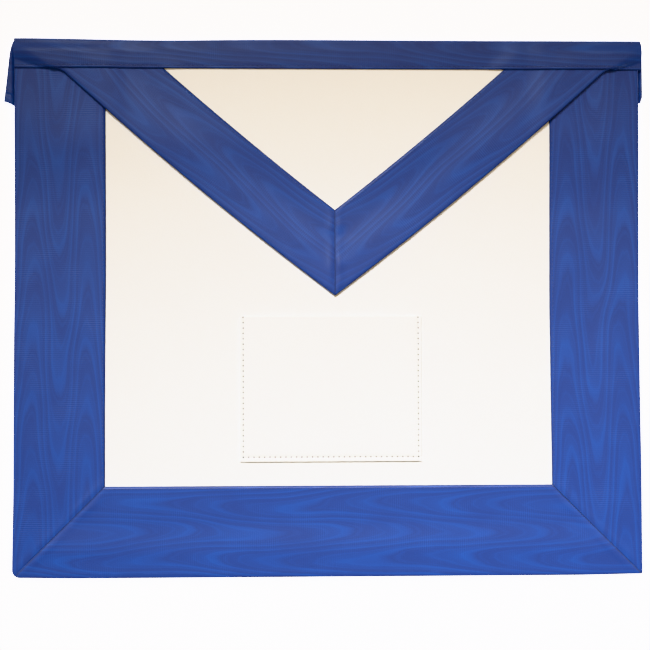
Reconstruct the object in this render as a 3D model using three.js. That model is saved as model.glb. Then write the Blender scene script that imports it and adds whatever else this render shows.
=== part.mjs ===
// A masonic apron lying on its back: a white leather body with a patch pocket, a moire ribbon border
// with mitred corners, a pointed flap edged with narrower ribbon, and a waistband ribbon folded over
// the top edge. The waistband's back leg is hemmed and leaves a flat tunnel for a belt.
// Millimetres, +Z up. +Y points to the waist fold, +X to the right of someone looking at the front.

import * as THREE from "three";

// Overall size
const apronWidth = 355.6; // side fold to side fold, 14 in
const apronDepth = 304.8; // waist fold to bottom fold, 12 in

// Materials and clearance
const leatherThickness = 1;
const ribbonThickness = 1;
const plyGap = 0.3; // between pieces that lie on each other or meet edge to edge

// Border ribbon along both sides and the bottom
const borderWidth = 51.4; // 2 in ribbon, as seen from the front
const borderTurnUnder = 12; // the leg that is turned to the back

// Waistband ribbon
const waistFrontDepth = 15.9; // waist fold to the sewn front edge
const waistBackDepth = 37.5; // waist fold to the hem of the back leg
const waistHemWidth = 6; // of the edge turned in along the hem
const tunnelHeight = 0.6; // room for a flat belt above the turned-in hem
const waistTuck = 7.5; // how far the pieces below it reach under its front leg
const leftEndFlare = 5.6; // the back leg leans out by this much at the left end of the hem
const rightEndOverhang = 1.8;
const endCornerRise = 2.6; // the hem's corners are drawn up by this much
const endCornerRun = 9; // over this length

// Flap and its ribbon
const flapDrop = 145.3; // waist fold to the point
const flapInset = 22.2; // apron side to the flap's outer edge, along the waist seam
const flapShift = 3; // the flap is sewn this far right of the centre line
const flapRibbonWidth = 38.1; // 1 1/2 in ribbon, as seen from the front
const flapTurnUnder = 10;
const flapOuterBow = 2.7; // the slanting edges swell by this much at their middle
const flapInnerBow = 1.2;

// Patch pocket, sewn on at its sides and bottom, with its mouth towards the flap
const pocketWidth = 102.8;
const pocketShift = 1; // right of the centre line
const pocketBelowFlap = 12.3; // flap point to pocket mouth
const pocketAboveBorder = 13.6; // pocket bottom to the border's inner edge
const pocketGape = 0.7; // how far the middle of the mouth stands off the body

// Drape: how gently one piece rises over the edge of another
const tunnelRiseRun = 22; // of the body up to the height of the tunnel
const tunnelRiseClear = 2; // this rise ends so far short of the hem
const borderRiseRun = 30; // of the flap on to the border
const borderRiseClear = 4;
const waistRiseRun = 10; // of the waistband's front leg on to the flap
const waistRiseClear = 1;

// Smoothness of curves
const foldSteps = 6;
const rampSteps = 5;
const flapSteps = 32;
const acrossSteps = 4;
const panelSteps = 20;
const pocketSteps = 8;

// Places that follow from the sizes
const side = apronWidth / 2;
const waistFold = apronDepth / 2;
const bottomFold = -apronDepth / 2;
const waistSeam = waistFold - waistFrontDepth;
const waistHem = waistFold - waistBackDepth;
const tuckEdge = waistSeam + waistTuck;
const corePly = Math.max(leatherThickness, ribbonThickness) + plyGap;
const frontPly = ribbonThickness + plyGap;
const tunnelRise = frontPly + ribbonThickness + tunnelHeight;
const tunnelRiseEnd = waistHem - tunnelRiseClear;
const borderInner = side - borderWidth;
const borderRiseEnd = borderInner - borderRiseClear;
const flapPoint = waistFold - flapDrop;
const flapSeamHalf = side - flapInset;
const flapSlope = (waistSeam - flapPoint) / flapSeamHalf;
const flapSine = flapSlope / Math.hypot(1, flapSlope);
const flapCosine = 1 / Math.hypot(1, flapSlope);
const flapTopHalf = flapSeamHalf + waistTuck / flapSlope;
const flapRibbonStart = flapSeamHalf - flapRibbonWidth / flapSine - waistRiseClear;

const ribbonBlue = { color: 0x2f4f9c, roughness: 0.55, metalness: 0 };
const leatherWhite = { color: 0xf4f1ec, roughness: 0.6, metalness: 0 };

// 0 up to a ramp's start, 1 from its end, smooth between
function ramp(value, start, end) {
  const t = THREE.MathUtils.clamp((value - start) / (end - start), 0, 1);
  return t * t * (3 - 2 * t);
}

function spread(from, to, steps) {
  return Array.from({ length: steps + 1 }, (_, i) => THREE.MathUtils.lerp(from, to, i / steps));
}

// How far the tunnel behind the waist raises the body and its border
function bodyRise(y) {
  return tunnelRise * ramp(y, tunnelRiseEnd - tunnelRiseRun, tunnelRiseEnd);
}

// Underside of the flap: on the body, or on the border where it crosses it
function flapUnderside(x, y) {
  const onBorder = ramp(Math.abs(x), borderRiseEnd - borderRiseRun, borderRiseEnd);
  return bodyRise(y) + corePly + frontPly * onBorder;
}

// A sheet seen from its end is a list of pairs: a point on its outer face and one across from it.
function straight(from, to, steps, outerHeight, innerHeight) {
  return spread(from, to, steps).map((along) => [
    [along, outerHeight],
    [along, innerHeight],
  ]);
}

// A bend of the sheet round a centre. Both angles are measured from the first axis.
function bend(along, height, innerRadius, from, to) {
  return spread(from, to, foldSteps).map((angle) =>
    [innerRadius + ribbonThickness, innerRadius].map((radius) => [
      along + radius * Math.cos(angle),
      height + radius * Math.sin(angle),
    ]),
  );
}

// A closed solid through copies of one section. place gives the point of a section corner at a station.
function loft(pairs, stations, place) {
  const corners = [...pairs.map((pair) => pair[0]), ...pairs.map((pair) => pair[1]).reverse()];
  const count = corners.length;
  const points = stations.flatMap((station) => corners.map((corner) => place(corner, station)));
  const faces = [];
  for (let i = 0; i + 1 < stations.length; i++) {
    for (let j = 0; j < count; j++) {
      const a = i * count + j;
      const b = i * count + ((j + 1) % count);
      faces.push([a, b, b + count], [a, b + count, a + count]);
    }
  }
  const last = (stations.length - 1) * count;
  for (let j = 0; j + 1 < pairs.length; j++) {
    const k = count - 1 - j;
    faces.push([j, k, k - 1], [j, k - 1, j + 1]);
    faces.push([last + j, last + k - 1, last + k], [last + j, last + j + 1, last + k - 1]);
  }
  const volume = faces.reduce(
    (sum, [a, b, c]) => sum + points[a].dot(new THREE.Vector3().crossVectors(points[b], points[c])),
    0,
  );
  const index = volume < 0 ? faces.flatMap(([a, b, c]) => [a, c, b]) : faces.flat();
  const solid = new THREE.BufferGeometry().setFromPoints(points).setIndex(index).toNonIndexed();
  solid.computeVertexNormals();
  return solid;
}

// A ribbon folded along its outer edge, seen from its end: distance in from the fold, and height.
// The back leg lies level with the leather beside it, and the front leg covers that leather.
function foldedSection(width, turnUnder, steps) {
  const top = corePly + ribbonThickness;
  const radius = top / 2;
  return [
    ...straight(width, radius, steps, top, corePly),
    ...bend(radius, radius, radius - ribbonThickness, Math.PI / 2, Math.PI * 1.5).slice(1),
    ...straight(radius, turnUnder, Math.ceil(steps / 2), 0, ribbonThickness).slice(1),
  ];
}

// Stations along the apron's depth, close together where the body rises to the tunnel
function depthStations(from, to) {
  const rise = spread(tunnelRiseEnd - tunnelRiseRun, tunnelRiseEnd, rampSteps);
  return [from, ...rise.filter((y) => y > from && y < to), to];
}

function bodyPanel() {
  const reach = side - borderTurnUnder - plyGap;
  const foldRadius = (tunnelRise + corePly + ribbonThickness) / 2;
  const rows = depthStations(bottomFold + borderTurnUnder + plyGap, waistFold - foldRadius - plyGap);
  const pairs = rows.map((y) => [
    [y, bodyRise(y) + leatherThickness],
    [y, bodyRise(y)],
  ]);
  return loft(pairs, [-reach, reach], ([y, z], x) => new THREE.Vector3(x, y, z));
}

// hand is -1 for the left ribbon and 1 for the right one
function sideRibbon(hand) {
  const mitreGap = plyGap / Math.SQRT2;
  const square = depthStations(bottomFold + borderWidth + borderTurnUnder, tuckEdge);
  return loft(foldedSection(borderWidth, borderTurnUnder, 1), ["mitre", ...square], ([d, z], station) => {
    const y = station === "mitre" ? bottomFold + d + mitreGap : station;
    return new THREE.Vector3(hand * (side - d), y, z + bodyRise(y));
  });
}

function bottomRibbon() {
  const mitreGap = plyGap / Math.SQRT2;
  return loft(
    foldedSection(borderWidth, borderTurnUnder, 1),
    [-1, 1],
    ([d, z], hand) => new THREE.Vector3(hand * (side - d - mitreGap), bottomFold + d, z),
  );
}

// The left half of the flap, with its centre line at x = 0: the two ends of the line at distance d
// inside its straight outer edge, one in the waist seam's tuck and one at the mitre
function flapLine(d) {
  const footX = -plyGap / 2;
  const footY = waistSeam - (flapSeamHalf + footX - d / flapSine) * flapSlope;
  return {
    top: new THREE.Vector2(-flapTopHalf + d / flapSine, tuckEdge),
    foot: new THREE.Vector2(footX, footY),
  };
}

// How far that line swells outwards at a share of its length
function flapBow(d, share) {
  const middle = THREE.MathUtils.lerp(flapOuterBow, flapInnerBow, d / flapRibbonWidth);
  return middle * 4 * share * (1 - share);
}

// hand is -1 for the left ribbon and 1 for the right one
function flapRibbon(hand) {
  const section = foldedSection(flapRibbonWidth, flapTurnUnder, acrossSteps);
  return loft(section, spread(0, 1, flapSteps), ([d, z], share) => {
    const { top, foot } = flapLine(d);
    const bow = flapBow(d, share);
    const fromCentre = THREE.MathUtils.lerp(top.x, foot.x, share) - bow * flapSine;
    const x = flapShift - hand * fromCentre;
    const y = THREE.MathUtils.lerp(top.y, foot.y, share) - bow * flapCosine;
    return new THREE.Vector3(x, y, z + flapUnderside(x, y));
  });
}

function flapPanel() {
  const edge = flapTurnUnder + plyGap;
  const { top, foot } = flapLine(edge);
  const rows = spread(tuckEdge, foot.y + plyGap, flapSteps);
  const pairs = spread(-1, 1, panelSteps).map((share) => [
    [share, leatherThickness],
    [share, 0],
  ]);
  return loft(pairs, rows, ([across, z], y) => {
    const share = (top.y - y) / (top.y - foot.y);
    const halfWidth = -THREE.MathUtils.lerp(top.x, foot.x, share) + flapBow(edge, share) / flapSine;
    const x = flapShift + across * halfWidth;
    return new THREE.Vector3(x, y, z + flapUnderside(x, y));
  });
}

// Underside of the waistband's sewn front edge, which rides over all that is tucked below it
function waistUnderside(x) {
  const out = Math.abs(x - flapShift);
  const flapEnd = flapTopHalf + waistRiseClear;
  const onFlap = 1 - ramp(out, flapEnd, flapEnd + waistRiseRun);
  const onFlapRibbon = ramp(out, flapRibbonStart - waistRiseRun, flapRibbonStart) * onFlap;
  return flapUnderside(x, tuckEdge) + onFlap * corePly + onFlapRibbon * frontPly;
}

// Shares of the waistband's length, close together where its front leg rises and at both ends
function waistStations() {
  const flapEnd = flapTopHalf + waistRiseClear;
  const rises = [
    ...spread(flapRibbonStart - waistRiseRun, flapRibbonStart, rampSteps),
    ...spread(flapEnd, flapEnd + waistRiseRun, rampSteps),
  ];
  const middle = [
    ...rises.flatMap((out) => [flapShift - out, flapShift + out]),
    ...spread(borderRiseEnd - borderRiseRun, borderRiseEnd, rampSteps).flatMap((out) => [-out, out]),
    ...spread(side - endCornerRun, side, rampSteps).flatMap((out) => [-out, out]),
  ];
  const shares = middle.filter((x) => Math.abs(x) <= side).map((x) => (x + side) / apronWidth);
  return [...new Set(shares)].sort((a, b) => a - b);
}

function waistband() {
  const under = tunnelRise + corePly;
  const foldRadius = (under + ribbonThickness) / 2;
  const foldCentre = waistFold - foldRadius;
  const hemTop = frontPly + ribbonThickness;
  const hemRadius = hemTop / 2;
  const tuckClear = tuckEdge + waistRiseClear;

  // Front leg, waist fold, back leg, hem fold and the edge turned in along the hem
  const frontRows = [waistSeam, ...spread(tuckClear, foldCentre, acrossSteps)];
  const front = frontRows.map((y) => [
    [y, under + ribbonThickness, "front"],
    [y, under, "front"],
  ]);
  const section = [
    ...front.slice(0, -1),
    ...bend(foldCentre, foldRadius, foldRadius - ribbonThickness, Math.PI / 2, -Math.PI / 2),
    ...bend(waistHem + hemRadius, hemRadius, hemRadius - ribbonThickness, -Math.PI / 2, -Math.PI * 1.5),
    ...straight(waistHem + hemRadius, waistHem + waistHemWidth, 1, hemTop, frontPly).slice(1),
  ];
  return loft(section, waistStations(), ([y, z, leg], share) => {
    const flare = leg === "front" ? 0 : (leftEndFlare * (waistFold - y)) / waistBackDepth;
    const left = -side - flare;
    const right = side + rightEndOverhang;
    const x = THREE.MathUtils.lerp(left, right, share);
    if (leg === "front") {
      const risen = 1 - ramp(y, tuckClear, foldCentre);
      return new THREE.Vector3(x, y, z + risen * (waistUnderside(x) - under));
    }
    const drawn = endCornerRise * (1 - ramp(Math.min(x - left, right - x), 0, endCornerRun));
    const towardsHem = THREE.MathUtils.clamp((foldCentre - y) / (foldCentre - waistHem), 0, 1);
    return new THREE.Vector3(x, y + drawn * towardsHem, z);
  });
}

function pocket() {
  const mouth = flapPoint - pocketBelowFlap;
  const foot = bottomFold + borderWidth + pocketAboveBorder;
  const pairs = spread(-1, 1, pocketSteps).map((share) => [
    [share, leatherThickness],
    [share, 0],
  ]);
  return loft(pairs, spread(0, 1, pocketSteps), ([across, z], up) => {
    const x = pocketShift + (across * pocketWidth) / 2;
    const y = THREE.MathUtils.lerp(foot, mouth, up);
    const gape = pocketGape * (1 - across * across) * ramp(up, 0, 1);
    return new THREE.Vector3(x, y, leatherThickness + plyGap + gape + z);
  });
}

const apron = new THREE.Group();
// The waistband's ends reach out unequally, so this centres the whole box on the origin.
apron.position.x = (leftEndFlare - rightEndOverhang) / 2;

function addPiece(name, geometry, look) {
  const mesh = new THREE.Mesh(geometry, new THREE.MeshStandardMaterial(look));
  mesh.name = name;
  apron.add(mesh);
}

addPiece("body_panel", bodyPanel(), leatherWhite);
addPiece("border_left", sideRibbon(-1), ribbonBlue);
addPiece("border_right", sideRibbon(1), ribbonBlue);
addPiece("border_bottom", bottomRibbon(), ribbonBlue);
addPiece("pocket", pocket(), leatherWhite);
addPiece("flap_panel", flapPanel(), leatherWhite);
addPiece("flap_ribbon_left", flapRibbon(-1), ribbonBlue);
addPiece("flap_ribbon_right", flapRibbon(1), ribbonBlue);
addPiece("waistband", waistband(), ribbonBlue);

export default apron;
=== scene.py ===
from math import cos, exp, hypot, pi, radians, sin

import bmesh
import bpy
from mathutils import Matrix, Vector, noise


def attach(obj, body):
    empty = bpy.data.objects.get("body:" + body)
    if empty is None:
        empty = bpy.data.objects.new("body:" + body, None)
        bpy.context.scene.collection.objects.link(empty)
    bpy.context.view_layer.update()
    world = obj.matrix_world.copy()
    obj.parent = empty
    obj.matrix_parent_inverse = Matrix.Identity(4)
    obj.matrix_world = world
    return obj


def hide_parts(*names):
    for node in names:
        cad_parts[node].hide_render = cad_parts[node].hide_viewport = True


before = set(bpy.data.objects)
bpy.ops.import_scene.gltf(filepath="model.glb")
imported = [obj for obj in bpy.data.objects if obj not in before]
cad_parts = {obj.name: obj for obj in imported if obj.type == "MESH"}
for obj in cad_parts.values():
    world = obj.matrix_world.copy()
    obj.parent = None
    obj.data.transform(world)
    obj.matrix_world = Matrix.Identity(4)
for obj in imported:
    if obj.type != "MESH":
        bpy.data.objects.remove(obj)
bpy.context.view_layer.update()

mm = 0.001

# Lengths are in millimetres and in the frame's axes: X right, Y to the waist fold, Z out of the front.
apron = {
    "side": 177.8,
    "waistFold": 152.4,
    "bottomFold": -152.4,
    "centreX": 1.9,  # the rectangle's middle, because the waistband's ends reach out unequally
    "leather": 0.95,
    "ribbon": 0.6,
    "clear": 0.12,  # between plies that touch
    "foldReach": 0.65,  # how far a fold bulges, as a share of half its height
    "waveHeight": 0.45,
    "waveLength": 85,
    "waveInset": (6, 30),  # the waves grow between these depths inside the outline
    "waveTop": (90, 112),  # and die out between these heights below the waistband
}


# camera, light and floor

shot = {
    "camera": (-32.2, -43.8, 910),
    "target": (-0.37, -10.2, 2),
    "roll": 0.003,
    "focalPixels": 1603.5,  # for a picture 650 pixels wide
    "pictureWidth": 650,
}


def addCamera():
    data = bpy.data.cameras.new("camera")
    data.lens = shot["focalPixels"] / shot["pictureWidth"] * data.sensor_width
    data.clip_end = 20
    camera = bpy.data.objects.new("camera", data)
    bpy.context.collection.objects.link(camera)
    eye, target = Vector(shot["camera"]) * mm, Vector(shot["target"]) * mm
    back = (eye - target).normalized()
    up = Vector((sin(shot["roll"]), cos(shot["roll"]), 0))
    right = up.cross(back).normalized()
    up = back.cross(right)
    camera.matrix_world = Matrix.Translation(eye) @ Matrix((right, up, back)).transposed().to_4x4()
    bpy.context.scene.camera = camera


keyLight = {
    "places": [(-280, 700, 1200), (280, 700, 1200)],
    "aims": [(60, -480, 0), (360, -480, 0)],  # brightest below the apron, and fading towards its waist
    "powers": [141, 61],
    "angle": 46,
    "radius": 150,
    "colour": (0.94, 1, 1.11),
}
waistLight = {
    "place": (45, 290, 600),
    "aim": (0, 100, 0),
    "size": (1000, 280),
    "power": 1.15,
    "colour": (1, 0.66, 0.28),
}
endLights = {
    "places": [(-430, 80, 600), (440, 80, 600)],
    "aims": [(-170, 130, 0), (170, 130, 0)],
    "size": (260, 300),
    "power": 0.28,
    "colour": (1, 0.78, 0.52),
}
sky = {"colour": (1, 0.8, 0.53), "strength": 0.38}


def placeLight(name, data, place, aim):
    light = bpy.data.objects.new(name, data)
    bpy.context.collection.objects.link(light)
    light.location = Vector(place) * mm
    light.rotation_euler = (Vector(aim) * mm - light.location).to_track_quat("-Z", "Y").to_euler()


def addPanel(name, panel, place, aim):
    data = bpy.data.lights.new(name, "AREA")
    data.shape = "RECTANGLE"
    data.size, data.size_y = (side * mm for side in panel["size"])
    data.energy = panel["power"]
    data.color = panel["colour"]
    placeLight(name, data, place, aim)


def addLights():
    for place, aim, power in zip(keyLight["places"], keyLight["aims"], keyLight["powers"]):
        data = bpy.data.lights.new("keyLight", "SPOT")
        data.energy = power
        data.color = keyLight["colour"]
        data.spot_size = radians(keyLight["angle"])
        data.spot_blend = 1
        data.shadow_soft_size = keyLight["radius"] * mm
        placeLight("keyLight", data, place, aim)
    addPanel("waistLight", waistLight, waistLight["place"], waistLight["aim"])
    for place, aim in zip(endLights["places"], endLights["aims"]):
        addPanel("endLight", endLights, place, aim)
    world = bpy.data.worlds.new("studio")
    world.use_nodes = True
    background = world.node_tree.nodes["Background"]
    background.inputs["Color"].default_value = (*sky["colour"], 1)
    background.inputs["Strength"].default_value = sky["strength"]
    bpy.context.scene.world = world
    bpy.context.scene.view_settings.view_transform = "Khronos PBR Neutral"
    bpy.context.scene.view_settings.look = "None"


# materials

class Nodes:
    # short calls for building a material's nodes
    def __init__(self, name):
        self.material = bpy.data.materials.new(name)
        self.material.use_nodes = True
        self.tree = self.material.node_tree
        self.shader = self.tree.nodes["Principled BSDF"]

    def link(self, value, socket):
        if isinstance(value, bpy.types.NodeSocket):
            self.tree.links.new(value, socket)
        else:
            socket.default_value = value

    def add(self, kind, **settings):
        node = self.tree.nodes.new(kind)
        for key, value in settings.items():
            setattr(node, key, value)
        return node

    def maths(self, operation, first, second=0.0, third=0.0):
        node = self.add("ShaderNodeMath", operation=operation)
        for value, socket in zip((first, second, third), node.inputs):
            self.link(value, socket)
        return node.outputs[0]

    def blend(self, share, first, second):
        node = self.add("ShaderNodeMix", data_type="RGBA")
        colourSockets = (node.inputs[0], node.inputs[6], node.inputs[7])
        for value, socket in zip((share, first, second), colourSockets):
            self.link(value, socket)
        return node.outputs[2]

    def vector(self, x, y, z=0.0):
        node = self.add("ShaderNodeCombineXYZ")
        for value, socket in zip((x, y, z), node.inputs):
            self.link(value, socket)
        return node.outputs[0]

    def noise(self, vector, scale, detail=2.0, roughness=0.5):
        node = self.add("ShaderNodeTexNoise")
        self.link(vector, node.inputs["Vector"])
        self.link(scale, node.inputs["Scale"])
        self.link(detail, node.inputs["Detail"])
        self.link(roughness, node.inputs["Roughness"])
        return node.outputs["Fac"]

    def bump(self, height, distance, strength=1.0, normal=None):
        node = self.add("ShaderNodeBump")
        node.inputs["Distance"].default_value = distance
        node.inputs["Strength"].default_value = strength
        self.link(height, node.inputs["Height"])
        if normal is not None:
            self.link(normal, node.inputs["Normal"])
        return node.outputs["Normal"]

    def wave(self, phase):
        # 0 to 1 and back for each whole step of the phase
        turns = self.maths("MULTIPLY", phase, 2 * pi)
        return self.maths("MULTIPLY_ADD", self.maths("COSINE", turns), 0.5, 0.5)


moire = {
    "deep": (0.0256, 0.052, 0.2105, 1),
    "bright": (0.0265, 0.092, 0.376, 1),
    # colour of the fine dark lines: the cut edges and seams, and painted shade along the folds
    "edge": (0.045, 0.050, 0.090, 1),
    "seamWidth": 0.6,
    "seamShare": 0.55,
    "edgeRoughness": 0.89,
    "flatPolish": 0.4,  # roughness that goes away from the edges
    "markPolish": 0.1,  # and in the watermarks
    "specular": 0.34,
    "sheen": 0.1,
    "sheenRoughness": 0.4,
    "sheenTint": (0.6, 0.7, 1, 1),
    "ribPitch": 1.2,
    "ribShare": 0.24,
    "ribHeight": 0.04,
    "weaveShare": 0.3,
    "weaveHeight": 0.035,
    "broadShare": 0.64,
    "fineShare": 0.17,
    "tipPitch": 40,  # from one nested watermark to the next, along the ribbon
    "columnPitch": 31,  # from one column of tips to the next that points the same way
    "columnStart": 25.7,
    "tipLength": 1.45,  # half the run of a tip's curve, in pitches
    "flatness": 0.06,  # of the tips
    "sway": 0.3,  # how far noise moves the columns, and the marks along them
    "drift": 1.7,
    "ripple": 0.16,
    "clouds": {  # noise: its turns for each metre along and across the ribbon, and a seed
        "sway": (11, 12, 0.0),
        "drift": (14, 45, 4.0),
        "ripple": (60, 420, 6.0),
        "patches": (25, 45, 9.0),
        "seen": (60, 75, 12.0),
        "weave": (900, 2600, 2.0),
    },
    "sharpness": 6,  # of a mark's start
    "fading": 1.5,
    "fineLines": 3,  # for each mark
    "fineSharpness": 5,
}


def moireMaterial(name, lines, seam=None, tone=1.0):
    # lines: (place across the ribbon, width, how dark) of each fine dark line along it, some of which are
    # painted shade.
    # seam(n, x, y): distance from a mitre. tone: share of the ribbon's colour that is left; below 1 it
    # paints shade into the whole ribbon
    n = Nodes(name)
    uv = n.add("ShaderNodeUVMap", uv_map="ribbonUv").outputs[0]
    split = n.add("ShaderNodeSeparateXYZ")
    n.link(uv, split.inputs[0])
    along, across = split.outputs[0], split.outputs[1]

    def cloud(name, detail=1):
        alongScale, acrossScale, seed = moire["clouds"][name]
        stretched = n.maths("MULTIPLY", along, alongScale), n.maths("MULTIPLY", across, acrossScale)
        return n.noise(n.vector(*stretched, seed), 1, detail)

    # watermarks: nested curves whose tips point up and down the ribbon in turn
    sway, drift, ripple = cloud("sway"), cloud("drift"), cloud("ripple")
    column = n.maths("SUBTRACT", across, moire["columnStart"] * mm)
    column = n.maths("DIVIDE", column, moire["columnPitch"] * mm)
    column = n.maths("MULTIPLY_ADD", n.maths("SUBTRACT", sway, 0.5), moire["sway"], column)
    turns = n.maths("MULTIPLY", column, 2 * pi)
    flat = n.maths("MULTIPLY", n.maths("COSINE", n.maths("MULTIPLY", turns, 3)), -moire["flatness"])
    tips = n.maths("ADD", n.maths("COSINE", turns), flat)
    phase = n.maths("MULTIPLY", along, 1 / (moire["tipPitch"] * mm))
    phase = n.maths("MULTIPLY_ADD", tips, moire["tipLength"], phase)
    phase = n.maths("MULTIPLY_ADD", n.maths("SUBTRACT", drift, 0.5), moire["drift"], phase)
    phase = n.maths("MULTIPLY_ADD", n.maths("SUBTRACT", ripple, 0.5), moire["ripple"], phase)

    # each mark starts sharply and fades away, with finer lines over it
    share = n.maths("FRACT", phase)
    rise = n.maths("MINIMUM", n.maths("MULTIPLY", share, moire["sharpness"]), 1)
    fall = n.maths("POWER", n.maths("SUBTRACT", 1, share), moire["fading"])
    broad = n.maths("MULTIPLY", rise, fall)
    fine = n.wave(n.maths("MULTIPLY_ADD", phase, moire["fineLines"], 0.2))
    fine = n.maths("POWER", fine, moire["fineSharpness"])
    patches = n.maths("SMOOTH_MIN", n.maths("MULTIPLY", cloud("patches", 2), 1.6), 1.0, 0.2)
    mark = n.maths("MULTIPLY", broad, moire["broadShare"])
    mark = n.maths("MULTIPLY", n.maths("MULTIPLY_ADD", fine, moire["fineShare"], mark), patches)

    # ribs across the ribbon, seen here and there where no watermark flattens them
    rib = n.wave(n.maths("DIVIDE", along, moire["ribPitch"] * mm))
    seen = n.maths("MAXIMUM", n.maths("MULTIPLY_ADD", cloud("seen"), 3.2, -1.3), 0.1)
    proud = n.maths("MULTIPLY", seen, n.maths("MULTIPLY_ADD", mark, -0.6, 1.0))
    ribs = n.maths("MULTIPLY", rib, proud)
    weave = cloud("weave")
    shade = n.maths("MULTIPLY_ADD", ribs, moire["ribShare"], mark)
    shade = n.maths("MULTIPLY_ADD", n.maths("SUBTRACT", weave, 0.5), moire["weaveShare"], shade)
    # tone darkens both colours evenly: painted shade, a darker copy of the same ribbon
    deep, bright = ((*(tone * part for part in moire[end][:3]), 1) for end in ("deep", "bright"))
    colour = n.blend(shade, deep, bright)

    # dark lines: at the raw edge, the cut edge's own darker colour with painted shade over it; along the
    # fold, painted shade where the ribbon turns away from the light; and in the mitre seams, the dark
    # joint
    def keepClear(clear, distance, width, dark):
        near = n.maths("MINIMUM", n.maths("DIVIDE", distance, width * mm), 1)
        return n.maths("MINIMUM", clear, n.maths("MULTIPLY_ADD", near, dark, 1 - dark))

    clear = 1
    for middle, width, dark in lines:
        distance = n.maths("ABSOLUTE", n.maths("SUBTRACT", across, middle * mm))
        clear = keepClear(clear, distance, width, dark)
    if seam:
        place = n.add("ShaderNodeSeparateXYZ")
        n.link(n.add("ShaderNodeTexCoord").outputs["Object"], place.inputs[0])
        distance = seam(n, place.outputs[0], place.outputs[1])
        clear = keepClear(clear, distance, moire["seamWidth"], moire["seamShare"])
    n.link(n.blend(clear, moire["edge"], colour), n.shader.inputs["Base Color"])
    roughness = n.maths("MULTIPLY_ADD", clear, -moire["flatPolish"], moire["edgeRoughness"])
    roughness = n.maths("MULTIPLY_ADD", mark, -moire["markPolish"], roughness)
    n.link(roughness, n.shader.inputs["Roughness"])
    n.shader.inputs["Specular IOR Level"].default_value = moire["specular"]
    n.shader.inputs["Sheen Weight"].default_value = moire["sheen"]
    n.shader.inputs["Sheen Roughness"].default_value = moire["sheenRoughness"]
    n.shader.inputs["Sheen Tint"].default_value = moire["sheenTint"]
    ribBump = n.bump(ribs, moire["ribHeight"] * mm)
    n.link(n.bump(weave, moire["weaveHeight"] * mm, normal=ribBump), n.shader.inputs["Normal"])
    return n.material


def cornerSeam(n, x, y):
    # distance from the mitres at the apron's bottom corners
    out = n.maths("ABSOLUTE", n.maths("SUBTRACT", x, apron["centreX"] * mm))
    off = n.maths("SUBTRACT", n.maths("ADD", out, y), (apron["side"] + apron["bottomFold"]) * mm)
    return n.maths("MULTIPLY", n.maths("ABSOLUTE", off), 0.5**0.5)


def centreSeam(n, x, y):
    # distance from the mitre at the flap's point
    return n.maths("ABSOLUTE", n.maths("SUBTRACT", x, (apron["centreX"] + flap["shift"]) * mm))


leather = {
    "pale": (0.90, 0.92, 0.93, 1),
    "cream": (0.855, 0.862, 0.855, 1),
    "specular": 0.35,
    "roughness": 0.42,
    "roughnessSpread": 0.2,
    "grainScale": 1500,
    "poreScale": 2600,
    "creaseHeight": 0.25,
    "cellHeight": 0.06,
    "poreHeight": 0.03,
}


def leatherMaterial():
    n = Nodes("whiteLeather")
    place = n.add("ShaderNodeTexCoord").outputs["Object"]
    cloud = n.noise(place, 14, 3)
    mottle = n.noise(place, 160, 3, 0.6)
    grain = n.add("ShaderNodeTexVoronoi", feature="SMOOTH_F1")
    n.link(place, grain.inputs["Vector"])
    grain.inputs["Scale"].default_value = leather["grainScale"]
    pores = n.noise(place, leather["poreScale"], 3, 0.6)
    tone = n.maths("MULTIPLY_ADD", mottle, 0.35, n.maths("MULTIPLY", cloud, 0.5))
    n.link(n.blend(tone, leather["pale"], leather["cream"]), n.shader.inputs["Base Color"])
    roughness = n.maths("MULTIPLY_ADD", mottle, leather["roughnessSpread"], leather["roughness"])
    n.link(roughness, n.shader.inputs["Roughness"])
    n.shader.inputs["Specular IOR Level"].default_value = leather["specular"]
    creases = n.bump(n.noise(place, 60, 4, 0.6), leather["creaseHeight"] * mm, 0.5)
    cells = n.bump(grain.outputs["Distance"], leather["cellHeight"] * mm, 0.7, creases)
    n.link(n.bump(pores, leather["poreHeight"] * mm, 0.6, cells), n.shader.inputs["Normal"])
    return n.material


def threadMaterial(name, colour):
    n = Nodes(name)
    place = n.add("ShaderNodeTexCoord").outputs["Object"]
    twist = n.noise(place, 3200, 2)
    dark = tuple(0.72 * part for part in colour[:3]) + (1,)
    n.link(n.blend(twist, dark, colour), n.shader.inputs["Base Color"])
    n.shader.inputs["Roughness"].default_value = 0.65
    n.shader.inputs["Sheen Weight"].default_value = 0.2
    n.link(n.bump(twist, 0.05 * mm), n.shader.inputs["Normal"])
    return n.material


paper = {
    "Base Color": (0.93, 0.93, 0.93, 1),
    "Emission Color": (0.98, 0.98, 1, 1),
    "Emission Strength": 3.4,
    "Roughness": 0.9,
    "Specular IOR Level": 0.1,
}


def floorMaterial():
    n = Nodes("floorPaper")
    for name, value in paper.items():
        n.shader.inputs[name].default_value = value
    return n.material


# shared shapes

def ramp(value, start, end):
    # 0 at the start, 1 at the end, smooth between
    t = min(1, max(0, (value - start) / (end - start)))
    return t * t * (3 - 2 * t)


def lerp(start, end, share):
    return start + (end - start) * share


def spread(start, end, count):
    return [lerp(start, end, i / count) for i in range(count + 1)]


def steps(*stretches):
    # stations along one line: the first point, then (end, how many) for each stretch
    places = [stretches[0]]
    for end, count in stretches[1:]:
        places += spread(places[-1], end, count)[1:]
    return places


def arch(share):
    # 0 at both ends, 1 in the middle
    return 4 * share * (1 - share)


def softNoise(x, y, seed):
    return noise.noise(Vector((x, y, seed)))


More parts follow.
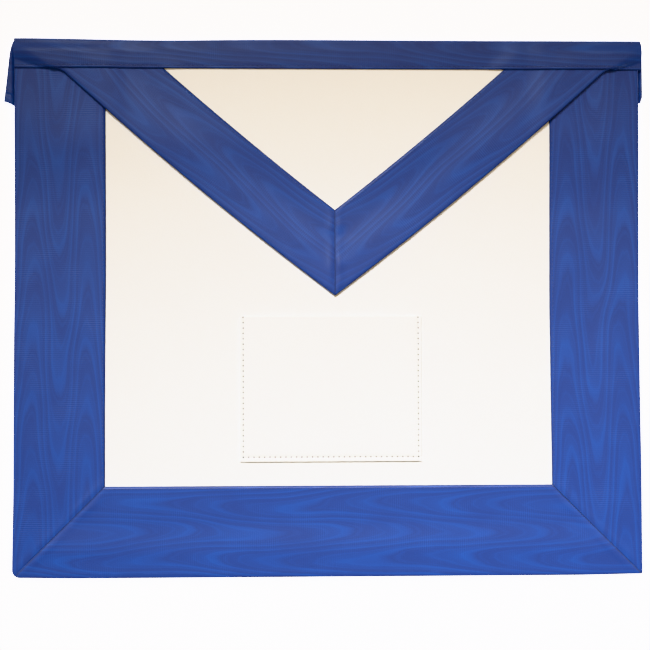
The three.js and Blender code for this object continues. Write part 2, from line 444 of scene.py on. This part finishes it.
def addSheet(name, across, along, place, uv, thickness, material, stands, rounding=0.0):
    # a grid whose points are moved to place(a, b), with ribbon coordinates from uv(a, b), and thickened
    bm = bmesh.new()
    bmesh.ops.create_grid(bm, x_segments=len(across) - 1, y_segments=len(along) - 1, size=0.5)
    layer = bm.loops.layers.uv.new("ribbonUv")
    stations = {}
    for vert in bm.verts:
        a = across[round((vert.co.x + 0.5) * (len(across) - 1))]
        b = along[round((vert.co.y + 0.5) * (len(along) - 1))]
        stations[vert.index] = (a, b)
        x, y, z = place(a, b)
        vert.co = ((x + apron["centreX"]) * mm, y * mm, z * mm)
    for face in bm.faces:
        face.smooth = True
        for loop in face.loops:
            u, v = uv(*stations[loop.vert.index])
            loop[layer].uv = (u * mm, v * mm)
    piece = meshObject(name, bm)
    wall = piece.modifiers.new("wall", "SOLIDIFY")
    wall.thickness = thickness * mm
    wall.offset = 0
    if rounding:
        edge = piece.modifiers.new("edge", "BEVEL")
        edge.width = rounding * mm
        edge.segments = 2
        edge.limit_method = "ANGLE"
        edge.angle_limit = radians(50)
    return dress(piece, material, stands)


def meshObject(name, bm):
    mesh = bpy.data.meshes.new(name)
    bm.to_mesh(mesh)
    bm.free()
    made = bpy.data.objects.new(name, mesh)
    bpy.context.collection.objects.link(made)
    return made


def dress(piece, material, stands=()):
    piece.data.materials.append(material)
    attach(piece, "root")
    if stands:
        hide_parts(*stands)
    return piece


thread = {"thickness": 0.42, "share": 0.78, "proud": 0.02}


def stitchBeads(runs):
    # a bead is (middle, line along it, width, height). Each run is a list of points on the surface.
    beads = []
    for run in runs:
        for start, end in zip(run, run[1:]):
            middle = (Vector(start) + Vector(end)) / 2 + Vector((0, 0, thread["proud"]))
            line = (Vector(end) - Vector(start)) * thread["share"]
            beads.append((middle, line, thread["thickness"], thread["thickness"]))
    return beads


def addBeads(name, beads, material):
    bm = bmesh.new()
    for middle, line, width, height in beads:
        turn = line.to_track_quat("X", "Z").to_matrix().to_4x4()
        size = Vector((line.length, width, height)) / 2 * mm
        place = Vector((middle.x + apron["centreX"], middle.y, middle.z)) * mm
        matrix = Matrix.Translation(place) @ turn @ Matrix.Diagonal(size).to_4x4()
        bmesh.ops.create_uvsphere(bm, u_segments=6, v_segments=6, radius=1, matrix=matrix)
    for face in bm.faces:
        face.smooth = True
    return dress(meshObject(name, bm), material)


# heights of the plies

ply = apron["ribbon"] + apron["clear"]
tunnel = {
    "rise": 1.7,  # of the body over the waistband's back leg, hem and belt tunnel
    "end": 112.9,
    "run": 60,
}
border = {
    "width": 51.4,
    "turnUnder": 12,
    "legFade": (1, 20),  # the leather comes down between these distances past the turned-under leg
    "stepFade": (14, 0.8),  # and the flap climbs on to the border between these, before its inner edge
    "leatherInset": 1.6,  # the leather ends this far inside the fold
    "mitreGap": 0.005,
    "corners": {-1: (4.5, 0.5), 1: (1.2, 0.1)},  # each bottom corner's rounding and reach
    "cornerUp": 0.5,
    "hollows": {-1: (35, 0.35), 1: (-10, 0.6)},  # of each side: its middle and depth
    "hollowRun": 45,
    "wobble": 0.2,
    "wobbleRun": 45,
    "wobbleEnds": ((-150, -120), (85, 110)),  # it grows and dies out between these heights
}
flap = {
    "shift": 3.5,
    "seamHalf": 155.6,
    "point": 6.4,
    "ribbonWidth": 37.4,
    "turnUnder": 10,
    "legFade": (1, 18),
    "outerBow": 2.7,
    "innerBow": 1.2,
    "flares": {-1: 4.5, 1: 2.2},  # of the left and right outer edge where it leaves the waist seam
    "flareRun": 0.8,
    "flareWidth": 9,  # how far into the ribbon it reaches
    "mitreGap": 0.004,
}
waist = {
    "seam": 136.5,  # where the flap's edges come out from under the front leg
    "edge": 135.5,  # the front leg's raw edge
    "hem": 113.8,
    "hemWidth": 6,
    "tuck": 144.0,
    "leftFlare": 5.7,
    "leftShoulder": 2.0,  # of the flare that comes at once below the fold
    "shoulderRun": 2.2,
    "rightOverhang": 1.5,
    "rightLegOverhang": 0.9,  # more, at the hem
    "foldRounding": (-2, 3.5),  # the right end swings out between these distances below the fold
    "hemRounding": (4, -1),  # and half back between these above the hem
    "cornerRise": 3.2,
    "cornerRun": 9,
    "lift": 1.9,  # of the back leg's ends, which reach out past the apron's sides
    "liftEnds": (-0.8, 1.8),  # it grows between these distances outside the sides
    "liftRun": 10,
    "foldFullness": 0.5,  # how far the fold rises with the plies inside the front leg
    "foldTilt": (0.2, -0.0011),  # the fold runs this much higher, and more so to the left
    "foldDip": (-100, 45, 0.75),  # its middle, half length and depth
    "hemTilt": (-0.45, 0.0012),
    "stitchInset": 1.65,
    "press": 0.1,  # of the stitches into the front leg
    "pressWidth": 0.7,
    "foldRoom": 1.6,  # the body ends this far inside the waist fold
    "flapRoom": (0.6, 0.4),  # kept clear outside the flap's edge, and how far up its flare is read
    "flapClimb": (3.2, 13),  # run of the climb on to the flap, at the front edge and at the tuck
    "ribbonFade": (0.6, 9),  # it comes down between these distances past the flap's ribbon
    "length": 363,
}
patch = {
    "width": 102.8,
    "shift": 1,
    "mouth": -5.2,
    "foot": -87.4,
    "gape": 0.7,
    "sideInset": 1.8,
    "footInset": 2.6,
    "pitch": 3.0,
    "dimple": 0.3,
    "dimpleWidth": 0.8,
    "clear": 0.3,  # from the body, along the seams
    "swell": 0.22,  # inside them
}

flapSlope = (waist["seam"] - flap["point"]) / flap["seamHalf"]
flapSine = flapSlope / hypot(1, flapSlope)
flapCosine = 1 / hypot(1, flapSlope)
flapTopHalf = flap["seamHalf"] + (waist["tuck"] - waist["seam"]) / flapSlope


def wave(x, y):
    # the gentle unevenness of leather lying on a table
    unit = apron["waveLength"]
    broad = 0.5 * softNoise(x / unit, y / unit, 7.5)
    fine = 0.25 * softNoise(x * 2.6 / unit, y * 2.6 / unit, 3.1)
    return apron["waveHeight"] * max(0, 0.5 + broad + fine)


def borderDepth(x, y):
    # how far inside the apron's edge a point lies
    return min(apron["side"] - abs(x), y - apron["bottomFold"])


def tunnelRise(y):
    return tunnel["rise"] * ramp(y, tunnel["end"] - tunnel["run"], tunnel["end"])


def turnedLeg(depth, cloth):
    # rise of the leather over its ribbon's turned-under leg
    near, far = cloth["legFade"]
    return ply * (1 - ramp(depth, cloth["turnUnder"] + near, cloth["turnUnder"] + far))


def bodyUnder(x, y):
    depth = borderDepth(x, y)
    waves = wave(x, y) * ramp(depth, *apron["waveInset"]) * (1 - ramp(y, *apron["waveTop"]))
    return tunnelRise(y) + turnedLeg(depth, border) + waves


def bodyTop(x, y):
    return bodyUnder(x, y) + apron["leather"]


def borderUnder(x, y):
    return bodyTop(x, y) + apron["clear"]


def flapDepth(x, y):
    # how far inside the flap's swelling outer edge a point lies
    across = abs(x - flap["shift"])
    straight = (flap["seamHalf"] - across) * flapSine - (waist["seam"] - y) * flapCosine
    share = min(1, max(0, (waist["tuck"] - y) / (waist["tuck"] - flap["point"])))
    return straight + flap["outerBow"] * arch(share)


def belowFlap(x, y):
    # top of what the flap lies on: the body, and the border where it crosses it
    inner = apron["side"] - border["width"]
    far, near = border["stepFade"]
    onBorder = ramp(abs(x), inner - far, inner - near)
    return bodyTop(x, y) + apron["clear"] + onBorder * ply


def flapUnder(x, y):
    return belowFlap(x, y) + turnedLeg(flapDepth(x, y), flap)


def flapRibbonUnder(x, y):
    return flapUnder(x, y) + apron["leather"] + apron["clear"]


def flapFlare(hand, y):
    # how far the flap's outer edge swings out where it leaves the waist seam
    return flap["flares"][hand] * exp(-max(0, waist["seam"] - y) / flap["flareRun"])


def waistUnder(x, y):
    # what the waistband's front leg lies on
    depth = flapDepth(x, y)
    outside, above = waist["flapRoom"]
    flapEnd = -outside - flapFlare(-1 if x < flap["shift"] else 1, y + above) * flapSine
    climb = lerp(*waist["flapClimb"], ramp(y, waist["edge"], waist["tuck"]))
    onFlap = ramp(depth, flapEnd - climb, flapEnd)
    near, far = (flap["ribbonWidth"] + past for past in waist["ribbonFade"])
    onRibbon = onFlap * (1 - ramp(depth, near, far))
    over = onFlap * (apron["leather"] + apron["clear"] + turnedLeg(depth, flap)) + onRibbon * ply
    return belowFlap(x, y) + over


# ribbons folded along their outer edge

foldRadius = (ply + apron["leather"] + apron["clear"]) / 2
foldBulge = foldRadius * apron["foldReach"]
foldInset = apron["ribbon"] / 2 + foldBulge
# where each ribbon's watermarks start, so that no two ribbons show the same ones
markStart = {
    "leftBorder": 400,
    "rightBorder": 1200,
    "bottomBorder": 2400,
    "flapRibbonLeft": 3300,
    "flapRibbonRight": 3900,
    "waistRibbon": 5260,
}


def foldedStations(width, turnUnder, frontSteps, legSteps):
    # (distance in from the fold, turn round the fold, path across the ribbon), front edge first
    front = [(d, 0, d) for d in reversed(spread(foldInset, width, frontSteps))]
    turns = spread(0, pi, 8)[1:-1]
    bend = [(foldInset - foldBulge * sin(a), a, foldInset - foldRadius * a) for a in turns]
    leg = [(d, pi, 2 * foldInset - foldRadius * pi - d) for d in spread(foldInset, turnUnder, legSteps)]
    return front + bend + leg


def foldHeight(turn, front, leg):
    # middle of the wall at a turn round the fold: 0 is the front, pi the turned-under leg
    return lerp(leg, front, (1 + cos(turn)) / 2)


mitre = {
    "puff": 0.26,
    "puffPlace": 2.6,
    "puffWidth": 2,
    "fan": 0.14,
    "fanRun": 8,
    "dip": 0.22,
    "dipWidth": 0.9,
    "lowest": -0.08,
    "foldFade": (0.5, 5),  # it grows between these distances from the fold
    "edgeFade": (-1, 2),  # and dies out between these from the ribbon's inner edge
}


def pucker(distance, along, seed):
    # the ribbon is drawn down at a mitre seam and puffs up beside it
    tug = 0.7 + 0.7 * softNoise(along / 7, distance / 9, seed)
    puff = mitre["puff"] * tug * exp(-(((distance - mitre["puffPlace"]) / mitre["puffWidth"]) ** 2))
    fan = mitre["fan"] * exp(-distance / mitre["fanRun"]) * softNoise(along / 3, distance / 12, seed + 5)
    dip = mitre["dip"] * exp(-((distance / mitre["dipWidth"]) ** 2))
    return max(mitre["lowest"], puff + fan - dip)


def puckerShare(d, width):
    return ramp(d, *mitre["foldFade"]) * ramp(width - d, *mitre["edgeFade"])


def borderHeight(station, x, y, seam, seed):
    d, turn, _ = station
    seamPull = 0.5 * pucker(seam, d, seed) * puckerShare(d, border["width"])
    front = borderUnder(x, y) + apron["ribbon"] / 2 + seamPull
    return foldHeight(turn, front, apron["ribbon"] / 2 + tunnelRise(y))


def roundCorner(x, y):
    # moves a point of a square bottom corner on to the real one, which is rounded and not quite square
    hand = -1 if x < 0 else 1
    radius, out = border["corners"][hand]
    near = ramp(abs(x), 140, apron["side"]) * ramp(-y, 100, -apron["bottomFold"])
    across = abs(x) - (apron["side"] - radius)
    down = apron["bottomFold"] + radius - y
    if across > 0 and down > 0:
        shrink = 1 - max(across, down) / hypot(across, down)
        x, y = x - hand * across * shrink, y + down * shrink
    return x + hand * out * near, y + border["cornerUp"] * near


def sideWobble(y, hand):
    # hand-made unevenness of the side folds, none at the corners
    middle, hollow = border["hollows"][hand]
    dent = hollow * exp(-(((y - middle) / border["hollowRun"]) ** 2))
    wobble = border["wobble"] * softNoise(y / border["wobbleRun"], hand, 3.3)
    low, high = border["wobbleEnds"]
    return dent + wobble * ramp(y, *low) * (1 - ramp(y, *high))


def sideRibbon(name, node, hand, material):
    across = foldedStations(border["width"], border["turnUnder"], 30, 6)
    along = steps(0, (0.03, 14), (0.1, 12), (1, 120))

    def yAt(station, share):
        return lerp(apron["bottomFold"] + station[0] + border["mitreGap"], waist["tuck"] - 0.6, share)

    def place(station, share):
        y = yAt(station, share)
        x = hand * (apron["side"] - station[0] - sideWobble(y, hand))
        seam = (y - apron["bottomFold"] - station[0]) / 2**0.5
        return *roundCorner(x, y), borderHeight(station, x, y, seam, 1 + hand)

    def uv(station, share):
        return yAt(station, share) + markStart[name], station[2]

    piece = addSheet(name, across, along, place, uv, apron["ribbon"], material, [node])


def bottomRibbon(name, material):
    across = foldedStations(border["width"], border["turnUnder"], 30, 6)
    half = steps(0, (0.84, 64), (0.955, 16), (1, 16))
    along = [-share for share in reversed(half[1:])] + half

    def xAt(station, share):
        return share * (apron["side"] - station[0] - border["mitreGap"])

    def place(station, share):
        x, y = xAt(station, share), apron["bottomFold"] + station[0]
        seam = (apron["side"] - station[0] - abs(x)) / 2**0.5
        return *roundCorner(x, y), borderHeight(station, x, y, seam, 11)

    def uv(station, share):
        return markStart[name] - xAt(station, share), station[2]

    piece = addSheet(
        name, across, along, place, uv, apron["ribbon"], material, ["border_bottom"],
    )


# body, flap and patch

def addBody(material):
    reach = apron["side"] - border["leatherInset"]
    top = apron["waistFold"] - waist["foldRoom"]
    across = steps(-reach, (-150, 16), (150, 110), (reach, 16))
    along = steps(apron["bottomFold"] + border["leatherInset"], (-125, 16), (88, 80), (116, 24), (top, 10))

    def place(x, y):
        return x, y, bodyUnder(x, y) + apron["leather"] / 2

    piece = addSheet(
        "bodyLeather", across, along, place, lambda x, y: (x, y), apron["leather"], material,
        ["body_panel"], rounding=0.12,
    )


def flapHalf(y, depth, bow):
    # half the flap's width at a height, along the line at a depth inside its outer edge
    share = (waist["tuck"] - y) / (waist["tuck"] - flap["point"])
    swell = bow * arch(share)
    return flap["seamHalf"] - (depth + (waist["seam"] - y) * flapCosine - swell) / flapSine


def addFlap(material):
    inset = border["leatherInset"]
    foot = flap["point"] + (inset + 0.4) / flapCosine
    across = steps(-1, (-0.86, 12), (0.86, 72), (1, 12))
    along = steps(foot, (foot + 12, 12), (waist["tuck"], 80))

    def place(share, y):
        x = flap["shift"] + share * flapHalf(y, inset, flap["outerBow"])
        return x, y, flapUnder(x, y) + apron["leather"] / 2

    piece = addSheet(
        "flapLeather", across, along, place, lambda share, y: (share, y), apron["leather"], material,
        ["flap_panel"], rounding=0.12,
    )


def flapRibbon(name, node, hand, material):
    across = foldedStations(flap["ribbonWidth"], flap["turnUnder"], 26, 6)
    along = steps(0, (0.04, 4), (0.1, 36), (0.9, 72), (0.97, 12), (1, 12))

    def flat(station, share):
        # (distance from the flap's centre line, y) on the straight ribbon
        d = station[0]
        topOut = flapTopHalf - d / flapSine
        footY = waist["seam"] - (flap["seamHalf"] - d / flapSine - flap["mitreGap"]) * flapSlope
        return lerp(topOut, flap["mitreGap"], share), lerp(waist["tuck"] - 0.2, footY, share)

    def place(station, share):
        out, y = flat(station, share)
        d, turn, _ = station
        bow = lerp(flap["outerBow"], flap["innerBow"], d / flap["ribbonWidth"]) * arch(share)
        flare = flapFlare(hand, y) * (1 - ramp(d, 0, flap["flareWidth"]))
        x = flap["shift"] + hand * (out + bow * flapSine + flare)
        y -= bow * flapCosine
        seamPull = pucker(out, y, 21 + hand) * puckerShare(d, flap["ribbonWidth"])
        front = flapRibbonUnder(x, y) + apron["ribbon"] / 2 + seamPull
        return x, y, foldHeight(turn, front, belowFlap(x, y) + apron["ribbon"] / 2)

    def uv(station, share):
        out, y = flat(station, share)
        return markStart[name] - out * flapCosine - y * flapSine, station[2]

    piece = addSheet(name, across, along, place, uv, apron["ribbon"], material, [node])


def patchTop(x, y):
    across = (x - patch["shift"]) / (patch["width"] / 2)
    up = (y - patch["foot"]) / (patch["mouth"] - patch["foot"])
    gape = patch["gape"] * max(0, 1 - across * across) * ramp(up, 0.2, 1)
    sideSeam = patch["width"] / 2 - patch["sideInset"] - abs(x - patch["shift"])
    footSeam = y - patch["foot"] - patch["footInset"]
    width = patch["dimpleWidth"]
    onSeam = max(exp(-((sideSeam / width) ** 2)), exp(-((footSeam / width) ** 2)))
    inside = ramp(min(sideSeam, footSeam), -1, 5)
    flat = bodyTop(x, y) + patch["clear"] + apron["leather"]
    return flat + gape + patch["swell"] * inside - patch["dimple"] * onSeam


def addPatch(material):
    half = patch["width"] / 2
    left, right = patch["shift"] - half, patch["shift"] + half
    across = steps(left, (left + 4, 12), (right - 4, 44), (right, 12))
    along = steps(patch["foot"], (patch["foot"] + 5, 15), (patch["mouth"] - 2, 36), (patch["mouth"], 4))

    def place(x, y):
        return x, y, patchTop(x, y) - apron["leather"] / 2

    return addSheet(
        "patchLeather", across, along, place, lambda x, y: (x, y), apron["leather"], material,
        ["pocket"], rounding=0.2,
    )


# waistband

def leftEnd(y):
    down = apron["waistFold"] - y
    shoulder = waist["leftShoulder"] * (1 - exp(-max(0, down) / waist["shoulderRun"]))
    lean = (waist["leftFlare"] - waist["leftShoulder"]) * down / (apron["waistFold"] - waist["hem"])
    return -apron["side"] - shoulder - lean


def rightEnd(y, legShare):
    start, end = (waist["hem"] + above for above in waist["hemRounding"])
    rounding = ramp(apron["waistFold"] - y, *waist["foldRounding"]) - 0.5 * ramp(y, start, end)
    return apron["side"] + (waist["rightOverhang"] + waist["rightLegOverhang"] * legShare) * rounding


def addWaistband(material):
    half = apron["ribbon"] / 2
    foldUnder = tunnel["rise"] + ply + apron["leather"] + apron["clear"]
    radius = foldUnder / 2
    bulge = radius * apron["foldReach"]
    centreY = apron["waistFold"] - half - bulge
    hemRadius = ply / 2
    hemCentre = waist["hem"] + half + hemRadius
    # (part, y, height or none, path), from the sewn front edge over the fold to the turned-in hem
    front = [("front", y, None, y) for y in spread(waist["edge"], centreY, 18)]
    bend = [
        ("fold", centreY + bulge * sin(a), half + radius + radius * cos(a), centreY + radius * a)
        for a in spread(0, pi, 12)[1:]
    ]
    legPath = centreY + radius * pi
    leg = [("leg", y, half, legPath + centreY - y) for y in spread(centreY, hemCentre, 24)[1:]]
    hemPath = legPath + centreY - hemCentre
    hem = [
        ("leg", hemCentre - hemRadius * sin(a), half + hemRadius * (1 - cos(a)), hemPath + hemRadius * a)
        for a in spread(0, pi, 8)[1:]
    ]
    hemPath += hemRadius * pi - hemCentre
    hemEnd = waist["hem"] + waist["hemWidth"]
    back = [("leg", y, half + ply, hemPath + y) for y in spread(hemCentre, hemEnd, 3)[1:]]
    across = front + bend + leg + hem + back
    along = steps(0, (0.03, 20), (0.97, 210), (1, 20))

    def tilted(tilt, x):
        return tilt[0] + tilt[1] * x

    def place(station, share):
        part, y, height, _ = station
        legShare = 0 if part == "front" else 1 - (height - half) / (2 * radius)
        left = lerp(-apron["side"], leftEnd(y), min(1, 2 * legShare))
        right = rightEnd(y, legShare)
        x = lerp(left, right, share)
        middle, length, depth = waist["foldDip"]
        risen = tilted(waist["foldTilt"], x) - depth * exp(-(((x - middle) / length) ** 2))
        risen *= ramp(y, waist["tuck"], centreY)
        onPlies = waistUnder(x, min(y, waist["tuck"] + 0.6)) + apron["clear"]
        foldTop = lerp(foldUnder, onPlies, waist["foldFullness"])
        if part == "front":
            flatShare = 1 - ramp(y, waist["tuck"] + 0.6, centreY)
            fromSeam = y - waist["edge"] - waist["stitchInset"]
            press = waist["press"] * exp(-((fromSeam / waist["pressWidth"]) ** 2))
            return x, y + risen, half + lerp(foldTop, onPlies - press, flatShare)
        if part == "fold":
            return x, y + risen, half + (height - half) * foldTop / foldUnder
        drawn = waist["cornerRise"] * (1 - ramp(min(x - left, right - x), 0, waist["cornerRun"]))
        drawn += tilted(waist["hemTilt"], x)
        towardsHem = min(1, max(0, (centreY - y) / (centreY - waist["hem"])))
        lift = waist["lift"] * ramp(abs(x) - apron["side"], *waist["liftEnds"])
        lift *= ramp(centreY - y, 0, waist["liftRun"])
        return x, y + risen + drawn * towardsHem, height + lift

    def uv(station, share):
        return share * waist["length"] + markStart["waistRibbon"], station[3]

    piece = addSheet(
        "waistRibbon", across, along, place, uv, apron["ribbon"], material, ["waistband"],
    )


# stitches

ribbonSeam = {"inset": 1.3, "pitch": 2.6, "top": 117}
# needle holes drawn as dark beads, wider and darker than real holes: they also paint the shade of the
# puckered dimples round the stitches
needleHole = {"width": 1.25, "depth": 0.38, "proud": 0.06}


def seamRun(start, end, pitch, height):
    # points on a seam from start to end, with height(x, y) of the surface
    (x0, y0), (x1, y1) = start, end
    count = round(hypot(x1 - x0, y1 - y0) / pitch)
    places = [(lerp(x0, x1, i / count), lerp(y0, y1, i / count)) for i in range(count + 1)]
    return [(x, y, height(x, y)) for x, y in places]


def addPatchStitches(piece, white, dark):
    left = patch["shift"] - patch["width"] / 2 + patch["sideInset"]
    right = patch["shift"] + patch["width"] / 2 - patch["sideInset"]
    low, high = patch["foot"] + patch["footInset"], patch["mouth"] - 0.6
    runs = [
        seamRun((left, high), (left, low), patch["pitch"], patchTop),
        seamRun((left, low), (right, low), patch["pitch"], patchTop),
        seamRun((right, low), (right, high), patch["pitch"], patchTop),
    ]
    patchStitches = addBeads("patchStitches", stitchBeads(runs), white)
    # dark beads at every stitch point: needle holes with painted shade of the dimples round them
    wide, deep = needleHole["width"], needleHole["depth"]
    raised = Vector((0, 0, needleHole["proud"]))
    holesAndShade = [(Vector(point) + raised, Vector((wide, 0, 0)), wide, deep) for run in runs for point in run]
    patchHolesAndShade = addBeads("patchHolesAndShade", holesAndShade, dark)


def addRibbonStitches(blue):
    inner = apron["side"] - border["width"] + ribbonSeam["inset"]
    low = apron["bottomFold"] + border["width"] - ribbonSeam["inset"]

    def onBorder(x, y):
        return borderUnder(x, y) + apron["ribbon"]

    runs = [
        seamRun((-inner, ribbonSeam["top"]), (-inner, low), ribbonSeam["pitch"], onBorder),
        seamRun((-inner, low), (inner, low), ribbonSeam["pitch"], onBorder),
        seamRun((inner, low), (inner, ribbonSeam["top"]), ribbonSeam["pitch"], onBorder),
    ]

    def onFlap(x, y):
        return flapRibbonUnder(x, y) + apron["ribbon"]

    for hand in (-1, 1):
        d = flap["ribbonWidth"] - ribbonSeam["inset"]
        footY = waist["seam"] - (flap["seamHalf"] - d / flapSine) * flapSlope
        topOut = flapTopHalf - d / flapSine - (waist["tuck"] - waist["seam"]) / flapSlope
        line = seamRun((topOut, waist["seam"]), (0.6, footY), ribbonSeam["pitch"], lambda x, y: 0)
        run = []
        for x, y, _ in line:
            share = (waist["tuck"] - y) / (waist["tuck"] - footY)
            bow = flap["innerBow"] * arch(share)
            x, y = flap["shift"] + hand * (x + bow * flapSine), y - bow * flapCosine
            run.append((x, y, onFlap(x, y)))
        runs.append(run)

    def onWaist(x, y):
        return waistUnder(x, y) + apron["ribbon"]

    seamY, seamEnd = waist["edge"] + waist["stitchInset"], apron["side"] - 2
    runs.append(seamRun((-seamEnd, seamY), (seamEnd, seamY), ribbonSeam["pitch"], onWaist))
    addBeads("ribbonStitches", stitchBeads(runs), blue)


def addFloor():
    bm = bmesh.new()
    bmesh.ops.create_grid(bm, x_segments=1, y_segments=1, size=3)
    floor = meshObject("floor", bm)
    floor.data.materials.append(floorMaterial())


addCamera()
addLights()
addFloor()
print("camera, lights and floor set")

# each ribbon's lines: its raw inner edge, partly painted shade, and at 0 the side of its outer fold,
# painted shade where it turns away from the light
borderLook = moireMaterial("borderMoire", [(border["width"], 0.6, 0.8), (0, 0.9, 0.8)], cornerSeam)
flapLook = moireMaterial("flapMoire", [(flap["ribbonWidth"], 0.6, 0.8), (0, 0.6, 0.4)], centreSeam)
# the raw front edge, partly painted shade; the stitch line; and painted shade along the waist fold
waistLines = [
    (waist["edge"], 0.5, 0.2),
    (waist["edge"] + waist["stitchInset"], 0.45, 0.5),
    (apron["waistFold"] + 0.85, 0.9, 0.85),
]
# the waistband is the same ribbon as the border, darkened by painted shade (tone 0.87) because less light
# reaches it
waistShadedLook = moireMaterial("waistMoireShaded", waistLines, tone=0.87)
leatherLook = leatherMaterial()
whiteThread = threadMaterial("whiteThread", (0.86, 0.84, 0.8, 1))
blueThread = threadMaterial("blueThread", (0.030, 0.062, 0.24, 1))
# needle-hole colour, also painted shade of the stitch dimples
holeShade = threadMaterial("needleHolesAndShade", (0.34, 0.33, 0.30, 1))
print("materials made")

addBody(leatherLook)
sideRibbon("leftBorder", "border_left", -1, borderLook)
sideRibbon("rightBorder", "border_right", 1, borderLook)
bottomRibbon("bottomBorder", borderLook)
print("body and border made")

addFlap(leatherLook)
flapRibbon("flapRibbonLeft", "flap_ribbon_left", -1, flapLook)
flapRibbon("flapRibbonRight", "flap_ribbon_right", 1, flapLook)
addWaistband(waistShadedLook)
print("flap and waistband made")

addPatchStitches(addPatch(leatherLook), whiteThread, holeShade)
addRibbonStitches(blueThread)
print("patch and stitches made")
